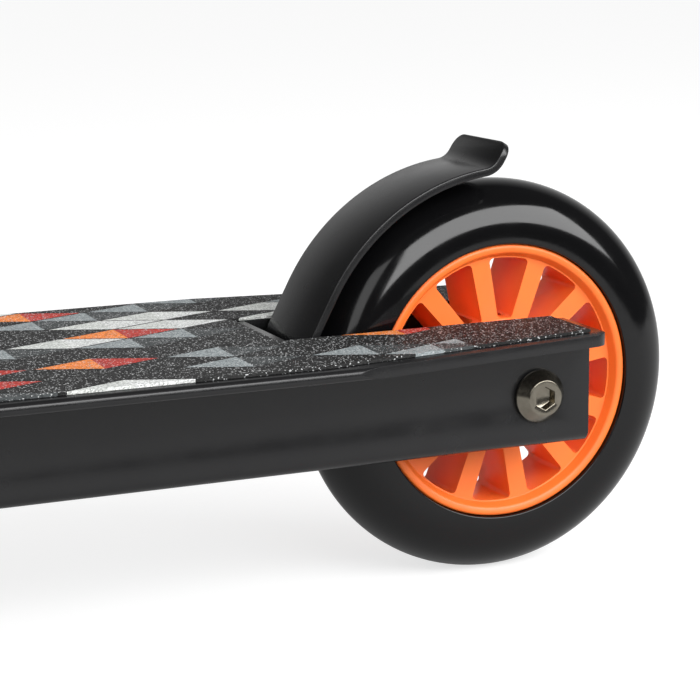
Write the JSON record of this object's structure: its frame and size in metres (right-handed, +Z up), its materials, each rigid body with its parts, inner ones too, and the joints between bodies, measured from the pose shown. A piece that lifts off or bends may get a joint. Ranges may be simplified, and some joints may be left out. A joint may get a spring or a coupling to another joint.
{
  "type": "stunt scooter",
  "caption": "Two-wheeled kick scooter: hollow deck with a spring fender brake, T-bar steering, fork and small cast wheels on spoked moulded cores.",
  "frame": {"origin": "on the ground, midway between the two axles, at the bottom centre of the object's box", "axes": "+X towards the front wheel, +Y to the rider's left, +Z up"},
  "size_m": [0.68, 0.5202, 0.7613],
  "materials": {
    "black_alloy": "satin black powder coat on aluminium",
    "black_steel": "satin black powder coat on steel",
    "grip_tape": "mineral grit, with printed lozenges in front of the wheel",
    "orange_plastic": "moulded, satin",
    "black_tyre": "cast polyurethane, glossy",
    "bolt_steel": "dark nickel plate",
    "bearing_steel": "ground",
    "black_plastic": "moulded",
    "black_rubber": "moulded, matt"
  },
  "bodies": {
    "frame": {"deck": "black_alloy", "grip_tape": "grip_tape", "neck": "black_alloy", "nose_plate": "black_alloy", "neck_gusset": "black_alloy", "head_tube": "black_alloy", "headset_lower_cup_race": "bearing_steel", "headset_upper_cup_race": "bearing_steel", "fender_foot": "black_steel", "fender_screw_1": "bolt_steel", "fender_screw_2": "bolt_steel", "fender_nut_1": "bolt_steel", "fender_nut_2": "bolt_steel", "rear_axle_bolt": "bolt_steel", "rear_axle_nut": "bolt_steel", "rear_axle_washer": "bolt_steel", "rear_axle_spacer_left": "bearing_steel", "rear_axle_spacer_right": "bearing_steel", "rear_race_left": "bearing_steel", "rear_race_right": "bearing_steel", "rear_bearing_spacer": "bearing_steel"},
    "steering": {"fork": "black_alloy", "crown_race": "bearing_steel", "headset_lower_stem_race": "bearing_steel", "headset_upper_stem_race": "bearing_steel", "headset_cap": "black_plastic", "steerer_shim": "bearing_steel", "compression_bolt": "bolt_steel", "star_nut": "bolt_steel", "handlebar": "black_steel", "bar_clamp": "black_alloy", "clamp_bolt_1": "bolt_steel", "clamp_bolt_2": "bolt_steel", "grip_left": "black_rubber", "grip_right": "black_rubber", "bar_end_plug_left": "black_rubber", "bar_end_plug_right": "black_rubber", "front_axle_bolt": "bolt_steel", "front_axle_nut": "bolt_steel", "front_axle_washer": "bolt_steel", "front_axle_spacer_left": "bearing_steel", "front_axle_spacer_right": "bearing_steel", "front_race_left": "bearing_steel", "front_race_right": "bearing_steel", "front_bearing_spacer": "bearing_steel"},
    "front_wheel": {"front_wheel_core": "orange_plastic", "front_tyre": "black_tyre", "front_bearing_left": "bearing_steel", "front_bearing_right": "bearing_steel"},
    "rear_wheel": {"rear_wheel_core": "orange_plastic", "rear_tyre": "black_tyre", "rear_bearing_left": "bearing_steel", "rear_bearing_right": "bearing_steel"},
    "brake": {"brake_fender": "black_steel"}
  },
  "joints": [
    {"name": "steering_turn", "type": "hinge", "parent": "frame", "child": "steering", "pos_m": [0.26221, 0, 0.04659], "axis": [-0.1219, 0, 0.9925], "continuous": true},
    {"name": "front_wheel_spin", "type": "hinge", "parent": "steering", "child": "front_wheel", "pos_m": [0.29, 0, 0.05], "axis": [0, 1, 0], "continuous": true},
    {"name": "rear_wheel_spin", "type": "hinge", "parent": "frame", "child": "rear_wheel", "pos_m": [-0.29, 0, 0.05], "axis": [0, 1, 0], "continuous": true},
    {"name": "brake_press", "type": "hinge", "parent": "frame", "child": "brake", "pos_m": [-0.23663, 0, 0.04814], "axis": [0, -1, 0], "range_deg": [0, 2.4], "stiffness_Nm_per_rad": 40}
  ]
}
